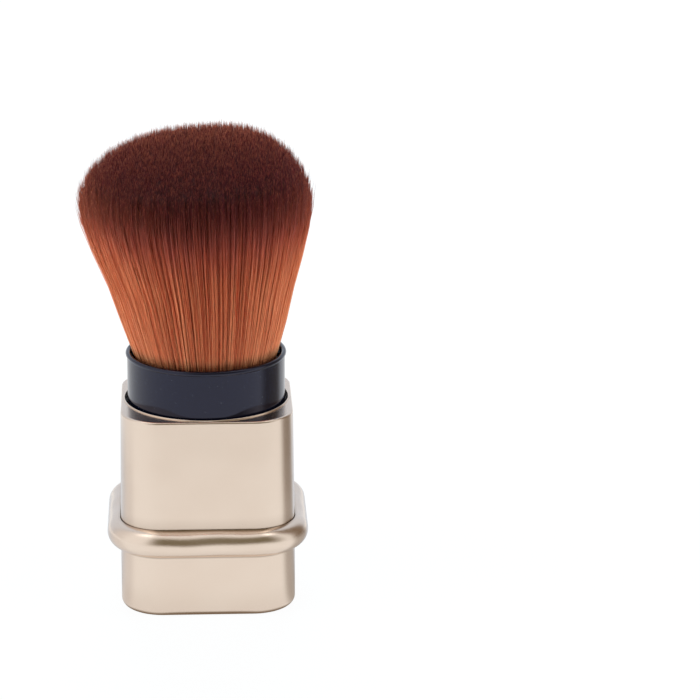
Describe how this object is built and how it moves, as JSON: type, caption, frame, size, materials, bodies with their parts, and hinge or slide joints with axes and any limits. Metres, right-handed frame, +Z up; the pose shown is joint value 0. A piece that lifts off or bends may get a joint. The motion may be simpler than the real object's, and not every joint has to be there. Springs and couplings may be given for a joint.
{
  "type": "retractable makeup brush",
  "caption": "Square metal-bodied makeup brush with a rounded collar, a sleeve that slides up round its open tuft of hair, and a flat foot to stand on.",
  "frame": {"origin": "middle of the flat underside", "axes": "+Z up along the sleeve's travel, X across the front face, -Y towards the viewer of the picture"},
  "size_m": [0.0432, 0.041, 0.0881],
  "materials": {
    "shell_metal": "satin anodised, pale champagne gold",
    "sleeve_black": "gloss black",
    "inner_plastic": "moulded black",
    "screw_steel": "plain steel",
    "soft_rubber": "soft black rubber",
    "ferrule_metal": "plain drawn aluminium",
    "glue": "hardened amber glue",
    "hair": "soft synthetic hair, orange-brown with dark brown tips"
  },
  "bodies": {
    "body": {"lower_shell": "shell_metal", "upper_shell": "shell_metal", "collar_ring": "shell_metal", "base_plate": "inner_plastic", "liner": "inner_plastic", "liner_screws": "screw_steel", "bumper_ring": "soft_rubber", "post": "inner_plastic", "post_screw": "screw_steel", "friction_ring": "soft_rubber", "ferrule": "ferrule_metal", "ferrule_screw": "screw_steel", "glue_bed": "glue", "bristle_tuft": "hair"},
    "sleeve": {"sleeve_tube": "sleeve_black", "slide_ring": "inner_plastic"}
  },
  "joints": [
    {"name": "sleeve_slide", "type": "slide", "parent": "body", "child": "sleeve", "axis": [0, 0, 1], "range_m": [0, 0.026], "deforming": ["bristle_tuft"]}
  ]
}
